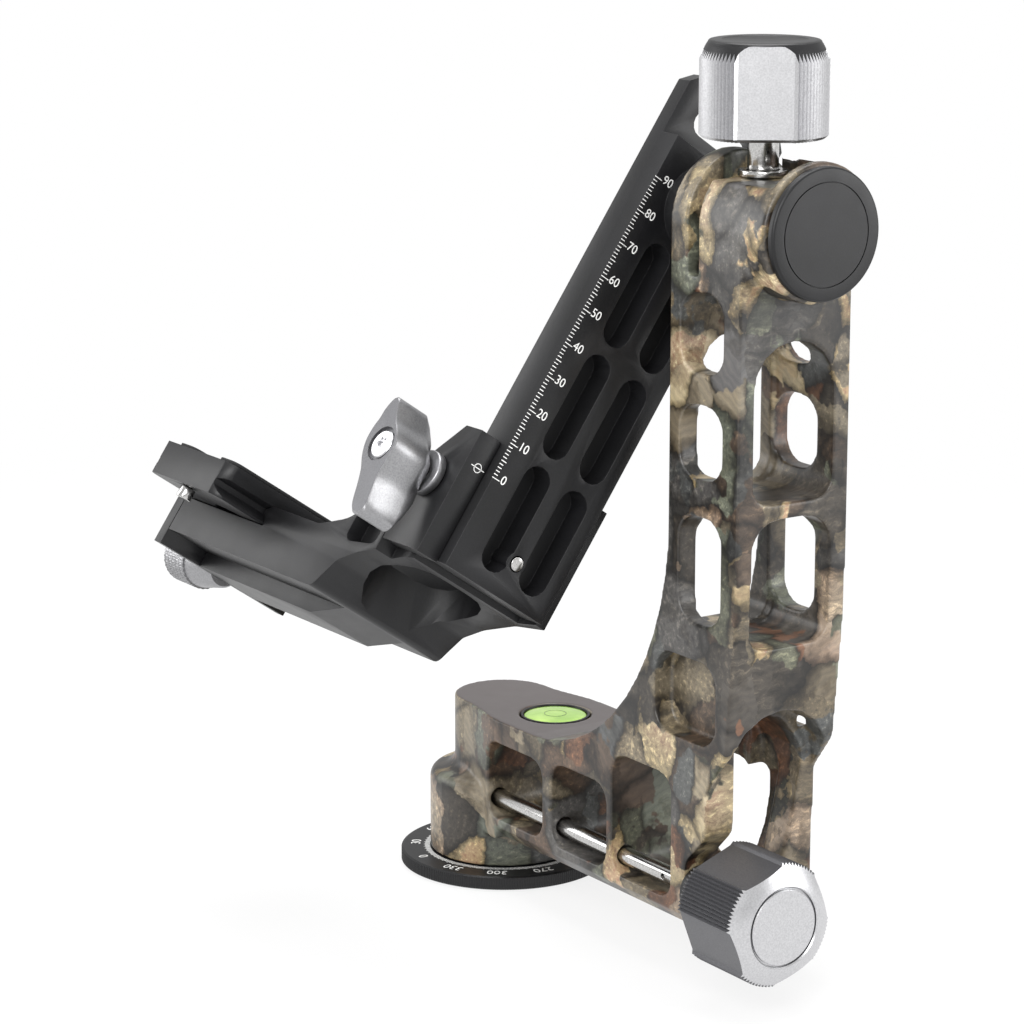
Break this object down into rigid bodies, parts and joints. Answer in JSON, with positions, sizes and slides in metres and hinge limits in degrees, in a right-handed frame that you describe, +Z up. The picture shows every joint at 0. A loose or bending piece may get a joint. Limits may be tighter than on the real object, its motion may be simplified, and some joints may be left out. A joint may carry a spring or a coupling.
{
  "type": "gimbal head",
  "caption": "Tripod gimbal head with a turning L-shaped bracket, a swing arm with a sliding cradle, a quick-release plate and locking knobs.",
  "frame": {"origin": "on the pan axis, at the underside of the base disc, where the tripod's stud enters", "axes": "+Z up along the pan axis, +X from the pan axis along the lower arm to the upright, parallel to the tilt axis"},
  "size_m": [0.2047, 0.139, 0.2526],
  "materials": {
    "printed_camouflage": null,
    "black_anodised_aluminium": "fine matte black anodised",
    "polished_steel": "turned and polished",
    "turned_brass": "turned",
    "moulded_nylon": "moulded",
    "green_acrylic": "clear glossy green",
    "grey_anodised_aluminium": "satin grey anodised",
    "satin_aluminium": "fine satin",
    "moulded_rubber": "fine ribbed"
  },
  "bodies": {
    "base": {"base_disc": "black_anodised_aluminium", "thread_bush": "turned_brass", "pan_spindle": "polished_steel"},
    "bracket": {"l_bracket": "printed_camouflage", "pan_retaining_ring": "black_anodised_aluminium", "pan_thrust_washer": "moulded_nylon", "level_cup": "black_anodised_aluminium", "level_vial": "green_acrylic", "pan_lock_collar": "black_anodised_aluminium", "tilt_bearing_inner": "polished_steel", "tilt_bearing_outer": "polished_steel", "tilt_cap": "black_anodised_aluminium"},
    "pan_shoe": {"pan_brake_shoe": "turned_brass"},
    "pan_knob": {"pan_lock_rod": "polished_steel", "pan_lock_knob": "grey_anodised_aluminium", "pan_knob_insert": "grey_anodised_aluminium"},
    "tilt_shoe": {"tilt_brake_shoe": "turned_brass"},
    "tilt_knob": {"tilt_lock_stud": "polished_steel", "tilt_flange_washer": "polished_steel", "tilt_lock_knob": "satin_aluminium", "tilt_knob_cap": "black_anodised_aluminium"},
    "swing": {"swing_arm": "black_anodised_aluminium", "tilt_axle": "polished_steel", "rail_stop_screw": "polished_steel"},
    "cradle_body": {"cradle": "black_anodised_aluminium"},
    "rail_jaw": {"rail_clamp_jaw": "black_anodised_aluminium"},
    "wing": {"wing_knob": "grey_anodised_aluminium", "wing_collar": "grey_anodised_aluminium", "rail_clamp_screw": "polished_steel"},
    "end_jaw": {"platform_jaw": "black_anodised_aluminium"},
    "end_knob": {"platform_knob": "grey_anodised_aluminium", "platform_clamp_screw": "polished_steel"},
    "plate": {"quick_release_plate": "black_anodised_aluminium", "plate_pad_left": "moulded_rubber", "plate_pad_right": "moulded_rubber", "plate_safety_screw_front": "polished_steel", "plate_safety_screw_back": "polished_steel"},
    "lens_screw": {"camera_screw": "polished_steel"}
  },
  "joints": [
    {"name": "pan_turn", "type": "hinge", "parent": "base", "child": "bracket", "pos_m": [0, 0, 0], "axis": [0, 0, 1], "continuous": true},
    {"name": "pan_shoe_slide", "type": "slide", "parent": "bracket", "child": "pan_shoe", "axis": [1, 0, 0], "range_m": [0, 0.001]},
    {"name": "pan_knob_turn", "type": "hinge", "parent": "pan_shoe", "child": "pan_knob", "pos_m": [0, -0.0129, 0.0255], "axis": [1, 0, 0], "range_deg": [0, 360]},
    {"name": "tilt_turn", "type": "hinge", "parent": "bracket", "child": "swing", "pos_m": [0, 0, 0.2055], "axis": [1, 0, 0], "continuous": true},
    {"name": "tilt_shoe_slide", "type": "slide", "parent": "bracket", "child": "tilt_shoe", "axis": [0, 0, 1], "range_m": [0, 0.001]},
    {"name": "tilt_knob_turn", "type": "hinge", "parent": "tilt_shoe", "child": "tilt_knob", "pos_m": [0.1206, 0, 0.2055], "axis": [0, 0, 1], "range_deg": [0, 360]},
    {"name": "cradle_slide", "type": "slide", "parent": "swing", "child": "cradle_body", "axis": [0, 0.5664, 0.8241], "range_m": [0, 0.09]},
    {"name": "rail_jaw_slide", "type": "slide", "parent": "cradle_body", "child": "rail_jaw", "axis": [0, -0.8241, 0.5664], "range_m": [0, 0.002]},
    {"name": "wing_turn", "type": "hinge", "parent": "rail_jaw", "child": "wing", "pos_m": [0.0803, -0.05466, 0.12597], "axis": [0, -0.8241, 0.5664], "range_deg": [0, 720]},
    {"name": "end_jaw_slide", "type": "slide", "parent": "cradle_body", "child": "end_jaw", "axis": [-1, 0, 0], "range_m": [0, 0.002]},
    {"name": "end_knob_turn", "type": "hinge", "parent": "end_jaw", "child": "end_knob", "pos_m": [0, -0.07715, 0.09325], "axis": [-1, 0, 0], "range_deg": [0, 720]},
    {"name": "plate_slide", "type": "slide", "parent": "cradle_body", "child": "plate", "axis": [0, 0.8241, -0.5664], "range_m": [-0.011, 0.011]},
    {"name": "lens_screw_slide", "type": "slide", "parent": "plate", "child": "lens_screw", "axis": [0, 0.8241, -0.5664], "range_m": [-0.018, 0.018]}
  ],
  "couplings": [
    {"joint": "pan_shoe_slide", "follows": "pan_knob_turn", "m_per_rad": 0.00015915},
    {"joint": "tilt_shoe_slide", "follows": "tilt_knob_turn", "m_per_rad": 0.00015915},
    {"joint": "rail_jaw_slide", "follows": "wing_turn", "m_per_rad": 0.00015915},
    {"joint": "end_jaw_slide", "follows": "end_knob_turn", "m_per_rad": 0.00015915}
  ]
}
